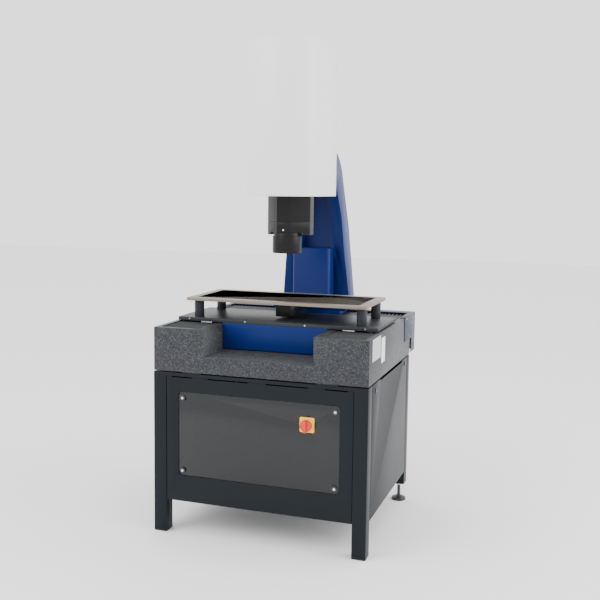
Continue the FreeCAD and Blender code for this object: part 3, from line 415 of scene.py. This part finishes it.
MAKERS = {
    "stand_paint": anthracite, "panel_paint": anthracite, "rack_metal": rack_black,
    "machine_blue": blue_paint, "housing_paint": housing_paint, "cover_white": cover_paint,
    "granite": granite, "head_black": head_black, "plate_black": plate_black,
    "motor_black": motor_black, "zinc": zinc, "guide_steel": guide_steel,
    "carriage_metal": milled, "frame_metal": frame_metal, "smoked_pane": smoked_pane,
    "stage_glass": stage_glass, "lens_glass": lens_glass, "bellows_fabric": bellows_cloth,
    "switch_yellow": switch_yellow, "switch_red": switch_red, "black_plastic": black_plastic,
    "black_rubber": black_rubber, "foot_metal": foot_metal,
}


# ---------------------------------------------------------------- pieces
def finished(name, mesh, body, slot, colours, replaces=()):
    """Turns a bmesh into a piece that rides on a body with its slot's material."""
    data = bpy.data.meshes.new(name)
    mesh.to_mesh(data)
    mesh.free()
    piece = bpy.data.objects.new(name, data)
    bpy.context.scene.collection.objects.link(piece)
    data.materials.append(finish_of(slot, colours))
    data.shade_smooth()
    data.set_sharp_from_angle(angle=math.radians(SHARP_ANGLE))
    if replaces:
        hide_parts(*replaces)
    if body:
        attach(piece, body)
    return piece


def merged_copy(node):
    """A bmesh of a CAD node with whole faces in place of its loose triangles."""
    mesh = bmesh.new()
    mesh.from_mesh(frame["nodes"][node].data)
    bmesh.ops.remove_doubles(mesh, verts=mesh.verts, dist=1e-6)
    bmesh.ops.dissolve_limit(mesh, angle_limit=math.radians(0.5), verts=mesh.verts,
                             edges=mesh.edges)
    return mesh


def sharp_edges(mesh, angle):
    limit = math.radians(angle)
    return [edge for edge in mesh.edges
            if len(edge.link_faces) == 2 and edge.calc_face_angle() > limit]


def bevel(mesh, edges, width, segments=2):
    bmesh.ops.bevel(mesh, geom=edges, offset=width, offset_type="OFFSET", affect="EDGES",
                    segments=segments, profile=0.5, material=-1, clamp_overlap=True,
                    miter_outer="ARC")


def softened(node, width, colours, segments=2, angle=SHARP_ANGLE):
    """Replaces a CAD node by a copy with rounded edges."""
    mesh = merged_copy(node)
    bevel(mesh, sharp_edges(mesh, angle), width, segments)
    return finished("soft_" + node, mesh, BODY_OF[node], SLOT_OF[node], colours, [node])


def turned(mesh, origin, axis, outline, steps=32):
    """Spins an outline of (radius, height) pairs around an axis into a closed solid."""
    axis = Vector(axis).normalized()
    across = axis.orthogonal().normalized()
    verts = [mesh.verts.new(Vector(origin) + across * radius + axis * height)
             for radius, height in outline]
    edges = [mesh.edges.new(pair) for pair in zip(verts, verts[1:])]
    bmesh.ops.spin(mesh, geom=verts + edges, cent=origin, axis=axis, angle=2 * math.pi,
                   steps=steps, use_merge=True, use_duplicate=False)
    bmesh.ops.remove_doubles(mesh, verts=mesh.verts, dist=1e-7)
    bmesh.ops.recalc_face_normals(mesh, faces=mesh.faces)


def screw_head(mesh, origin, axis, radius, height, socket=0.45):
    """A round head with a chamfered rim and a sunk socket."""
    turned(mesh, origin, axis, [
        (0.0, height * 0.35), (radius * socket, height * 0.35), (radius * socket, height),
        (radius * 0.86, height), (radius, height * 0.72), (radius, 0.0), (0.0, 0.0)], 20)


def slab(mesh, low, high):
    """A box between two corners."""
    low, high = Vector(low), Vector(high)
    size = high - low
    place = Matrix.Translation((low + high) / 2) @ Matrix.Diagonal((*size, 1))
    return bmesh.ops.create_cube(mesh, size=1.0, matrix=place)["verts"]


def soft_slab(low, high, width, segments=2):
    mesh = bmesh.new()
    slab(mesh, low, high)
    bevel(mesh, mesh.edges[:], width, segments)
    return mesh


def solids(node):
    """The corners of each separate solid of a CAD node."""
    mesh = merged_copy(node)
    left, found = set(mesh.verts), []
    while left:
        stack, seen = [left.pop()], []
        while stack:
            vert = stack.pop()
            seen.append(vert.co.copy())
            for edge in vert.link_edges:
                other = edge.other_vert(vert)
                if other in left:
                    left.remove(other)
                    stack.append(other)
        found.append(tuple(Vector([pick(point[i] for point in seen) for i in range(3)])
                           for pick in (min, max)))
    mesh.free()
    return sorted(found, key=lambda corners: tuple(corners[0]))


def screws(name, places, axis, radius, height, body, slot, colours):
    """Socket screws in one piece."""
    mesh = bmesh.new()
    for place in places:
        screw_head(mesh, place, axis, radius, height)
    return finished(name, mesh, body, slot, colours)


def plate(name, low, high, body, slot, colours):
    return finished(name, soft_slab(low, high, 0.0002, 1), body, slot, colours)


class MachineOperator:
    """What the operators share."""
    bl_options = {"REGISTER", "UNDO"}

    def colours(self, context):
        return context.scene.machine_colours

    def details(self, context):
        return context.scene.machine_details


class MACHINE_OT_stand(MachineOperator, bpy.types.Operator):
    """Stand frame, panels, locks and feet"""
    bl_idname = "machine.stand"
    bl_label = "Stand"

    def execute(self, context):
        colours, details = self.colours(context), self.details(context)
        for node in ("stand_frame", "front_panel", "left_side_panel", "right_side_panel",
                     "back_panel", "floor_panel"):
            softened(node, details.sheet_edge, colours)
        for node in ("front_foot_pads", "bed_pads"):
            softened(node, details.block_edge, colours)
        for node in ("levelling_feet", "foot_lock_nuts", "panel_locks"):
            softened(node, details.block_edge, colours, angle=50)
        return {"FINISHED"}


class MACHINE_OT_rack(MachineOperator, bpy.types.Operator):
    """Window pane, its screws, and the rack units behind it"""
    bl_idname = "machine.rack"
    bl_label = "Window and rack"

    def execute(self, context):
        colours, details = self.colours(context), self.details(context)
        softened("window_pane", details.block_edge, colours)
        softened("window_screws", 0.0012, colours, angle=50)
        heads = [((low + high) / 2, low.y) for low, high in solids("window_screws")]
        screws("window_screw_cores", [(mid.x, face + SCREW_SUNK, mid.z) for mid, face in heads],
               -Y, 0.0042, 0.0006, "stand", "zinc", colours)
        for node in ("rack_uprights", "power_unit", "controller_unit", "computer_unit"):
            softened(node, details.block_edge, colours)
        softened("main_switch_body", details.block_edge, colours)
        ears = []
        for node in ("power_unit", "controller_unit", "computer_unit"):
            low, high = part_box(node)
            ears += [(x, low[1], z) for x in (low[0] + EAR_INSET, high[0] - EAR_INSET)
                     for z in (low[2] + EAR_MARGIN, high[2] - EAR_MARGIN)]
        screws("rack_ear_screws", ears, -Y, details.screw_radius, 0.0016, "stand", "zinc", colours)
        return {"FINISHED"}


class MACHINE_OT_switch(MachineOperator, bpy.types.Operator):
    """Main switch with its yellow plate and red knob"""
    bl_idname = "machine.switch"
    bl_label = "Main switch"

    def execute(self, context):
        colours = self.colours(context)
        softened("main_switch_plate", 0.0008, colours)
        softened("main_switch_knob", 0.0014, colours, segments=3)
        low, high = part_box("main_switch_plate")
        middle = (Vector(low) + Vector(high)) / 2
        reach = (high[0] - low[0]) * 0.44
        mesh = bmesh.new()
        for across, up in ((reach, 0.0), (0.0, reach)):
            centre = Vector((middle.x + across, low[1], middle.z + up))
            slab(mesh, centre - MARK_HALF, centre + MARK_HALF)
        finished("switch_marks", mesh, "stand", "cover_white", colours)
        return {"FINISHED"}


class MACHINE_OT_bed(MachineOperator, bpy.types.Operator):
    """Granite bed and the guides in it"""
    bl_idname = "machine.bed"
    bl_label = "Granite bed"

    def execute(self, context):
        colours, details = self.colours(context), self.details(context)
        softened("granite_bed", details.stone_edge, colours, segments=1)
        for node in ("y_guide_rails", "x_guide_rails", "y_runner_blocks", "x_runner_blocks",
                     "y_ball_screw", "x_ball_screw", "y_ball_nut", "x_ball_nut",
                     "screw_supports", "y_motor", "x_motor"):
            softened(node, details.block_edge, colours)
        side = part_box("granite_bed")[1][0]
        for name, slot, low, high in SIDE_PLATES:
            plate(name, (side - PLATE_SUNK, *low), (side + PLATE_PROUD, *high), "stand", slot,
                  colours)
        return {"FINISHED"}


class MACHINE_OT_stage(MachineOperator, bpy.types.Operator):
    """Stage plate, carriage, posts, frame and glass"""
    bl_idname = "machine.stage"
    bl_label = "Stage"

    def execute(self, context):
        colours, details = self.colours(context), self.details(context)
        for node in ("stage_plate", "stage_carriage", "glass_posts", "glass_frame",
                     "stage_glass"):
            softened(node, details.block_edge, colours)
        low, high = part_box("stage_plate")
        middle = (low[2] + high[2]) / 2
        places = [(low[0] + (high[0] - low[0]) * share, low[1] + SCREW_SUNK, middle)
                  for share in STAGE_SCREW_SHARES]
        screws("stage_edge_screws", places, -Y, 0.0026, 0.0004, "stage", "zinc", colours)
        return {"FINISHED"}


class MACHINE_OT_column(MachineOperator, bpy.types.Operator):
    """Column casting, saddle, rear housing and light arm"""
    bl_idname = "machine.column"
    bl_label = "Column"

    def execute(self, context):
        colours, details = self.colours(context), self.details(context)
        softened("column", details.cast_edge, colours, segments=3, angle=20)
        softened("x_carriage", details.sheet_edge, colours)
        softened("rear_housing", details.sheet_edge, colours)
        softened("light_arm", details.block_edge, colours)
        softened("arm_lens", details.block_edge, colours)
        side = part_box("rear_housing")[1][0]
        for sign, name in ((1, "right"), (-1, "left")):
            places = [(sign * (side - SCREW_SUNK), y, z) for y, z in HOUSING_SCREWS]
            screws("housing_screws_" + name, places, X * sign, details.screw_radius, 0.0012,
                   BODY_OF["rear_housing"], "zinc", colours)
        return {"FINISHED"}


class MACHINE_OT_bellows(MachineOperator, bpy.types.Operator):
    """Bellows over the guides of the stage and the column"""
    bl_idname = "machine.bellows"
    bl_label = "Bellows"

    def execute(self, context):
        colours = self.colours(context)
        self.fold(colours, "left_stage_bellows", "y", "stage")
        self.fold(colours, "right_stage_bellows", "y", "stage")
        self.fold(colours, "left_column_bellows", "x", "column")
        self.fold(colours, "right_column_bellows", "x", "column")
        return {"FINISHED"}

    def fold(self, colours, node, way, body):
        if way == "x":
            low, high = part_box(node)
            ends = (low[0], high[0]) if low[0] < 0 else (high[0], low[0])
            self.cloth(colours, node, "", lambda point: False,
                       ("stand", body), [Vector((end, low[1], low[2])) for end in ends])
            return
        rims = sorted(solids(node), key=lambda corners: corners[0].y)
        (front_low, front_high), (back_low, back_high) = rims[0], rims[-1]
        middle = (front_high.y + back_low.y) / 2
        self.cloth(colours, node, "_front", lambda point: point.y > middle, ("stand", body),
                   (front_low, Vector((front_low.x, front_high.y, front_low.z))))
        self.cloth(colours, node, "_back", lambda point: point.y < middle, (body, "stand"),
                   (back_low, Vector((back_low.x, back_high.y, back_low.z))))

    def cloth(self, colours, node, suffix, unwanted, bodies, ends):
        """One run of bellows, cut out of its CAD node and attached to no body."""
        mesh = merged_copy(node)
        bmesh.ops.delete(mesh, geom=[vert for vert in mesh.verts if unwanted(vert.co)],
                         context="VERTS")
        piece = finished("cloth_" + node + suffix, mesh, None, SLOT_OF[node], colours, [node])
        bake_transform(piece)


class MACHINE_OT_head(MachineOperator, bpy.types.Operator):
    """Hood, head drive, sensor housing and lens"""
    bl_idname = "machine.head"
    bl_label = "Head"

    def execute(self, context):
        colours, details = self.colours(context), self.details(context)
        softened("head_cover", 0.0025, colours, segments=3)
        softened("head_back_plate", details.block_edge, colours)
        for node in ("z_guide_rails", "z_screw_supports", "z_ball_screw", "z_motor",
                     "z_carriage", "z_runner_blocks", "z_ball_nut"):
            softened(node, details.block_edge, colours)
        softened("sensor_housing", details.block_edge, colours)
        softened("lens_barrel", details.block_edge, colours)
        softened("front_lens", details.block_edge, colours)
        low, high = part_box("head_cover")
        for sign, name in ((1, "right"), (-1, "left")):
            places = [(sign * (high[0] - SCREW_SUNK), high[1] - COVER_SCREW_INSET, z)
                      for z in COVER_SCREW_HEIGHTS]
            screws("cover_screws_" + name, places, X * sign, details.screw_radius, 0.0014,
                   BODY_OF["head_cover"], "zinc", colours)
        low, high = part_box("sensor_housing")
        screws("head_front_screw", [(0, low[1] + 0.0003, low[2] + 0.018)], -Y, 0.003, 0.001,
               "head", "zinc", colours)
        return {"FINISHED"}


# ---------------------------------------------------------------- studio
class MACHINE_OT_studio(MachineOperator, bpy.types.Operator):
    """Camera, floor and soft light"""
    bl_idname = "machine.studio"
    bl_label = "Studio"

    def execute(self, context):
        self.camera(context)
        self.floor(context)
        self.lights(context)
        return {"FINISHED"}

    def camera(self, context):
        data = bpy.data.cameras.new("camera")
        data.sensor_width, data.lens = 36.0, 53.902
        data.shift_x, data.shift_y = 0.0397, -0.0272
        camera = bpy.data.objects.new("camera", data)
        context.scene.collection.objects.link(camera)
        forward = Vector((-0.33413094, 0.93672162, -0.10444678))
        turn = forward.to_track_quat("-Z", "Y").to_matrix().to_4x4()
        roll = Matrix.Rotation(0.0095387, 4, "Z")
        place = Matrix.Translation((0.99998556, -2.9676085, 1.14778742))
        camera.matrix_world = place @ turn @ roll
        context.scene.camera = camera

    def floor(self, context):
        mesh = bmesh.new()
        bmesh.ops.create_grid(mesh, x_segments=1, y_segments=1, size=12.0)
        data = bpy.data.meshes.new("floor")
        mesh.to_mesh(data)
        mesh.free()
        floor = bpy.data.objects.new("floor", data)
        floor.location.z = -0.0005
        context.scene.collection.objects.link(floor)
        finish = Finish("pale_floor", Base_Color=(0.9, 0.9, 0.9, 1), Roughness=0.9)
        data.materials.append(finish.material)

    def lights(self, context):
        world = bpy.data.worlds.new("studio")
        world.use_nodes = True
        world.node_tree.nodes["Background"].inputs["Color"].default_value = (1, 1, 1, 1)
        world.node_tree.nodes["Background"].inputs["Strength"].default_value = 2.0
        context.scene.world = world
        self.soft_light(context, "key", (-2.4, -3.2, 3.4), 2.6, 120)
        self.soft_light(context, "right", (3.4, 0.2, 2.2), 2.4, 90)

    def soft_light(self, context, name, place, size, power):
        data = bpy.data.lights.new(name, "AREA")
        data.shape, data.size, data.energy = "SQUARE", size, power
        light = bpy.data.objects.new(name, data)
        context.scene.collection.objects.link(light)
        toward = Vector((0, 0, 0.9)) - Vector(place)
        turn = toward.to_track_quat("-Z", "Y").to_matrix().to_4x4()
        light.matrix_world = Matrix.Translation(place) @ turn


class MACHINE_PT_panel(bpy.types.Panel):
    """Lists the machine's operators"""
    bl_label = "Measuring machine"
    bl_space_type = "VIEW_3D"
    bl_region_type = "UI"
    bl_category = "Machine"

    def draw(self, context):
        for operator in OPERATORS:
            self.layout.operator(operator.bl_idname)


OPERATORS = (MACHINE_OT_stand, MACHINE_OT_rack, MACHINE_OT_switch, MACHINE_OT_bed,
             MACHINE_OT_stage, MACHINE_OT_column, MACHINE_OT_bellows, MACHINE_OT_head,
             MACHINE_OT_studio)
CLASSES = (MachineColours, MachineDetails, *OPERATORS, MACHINE_PT_panel)


def register():
    for item in CLASSES:
        bpy.utils.register_class(item)
    bpy.types.Scene.machine_colours = bpy.props.PointerProperty(type=MachineColours)
    bpy.types.Scene.machine_details = bpy.props.PointerProperty(type=MachineDetails)


def unregister():
    del bpy.types.Scene.machine_details
    del bpy.types.Scene.machine_colours
    for item in reversed(CLASSES):
        bpy.utils.unregister_class(item)


def main():
    register()
    for operator in OPERATORS:
        category, name = operator.bl_idname.split(".")
        getattr(getattr(bpy.ops, category), name)()


if __name__ == "__main__":
    main()
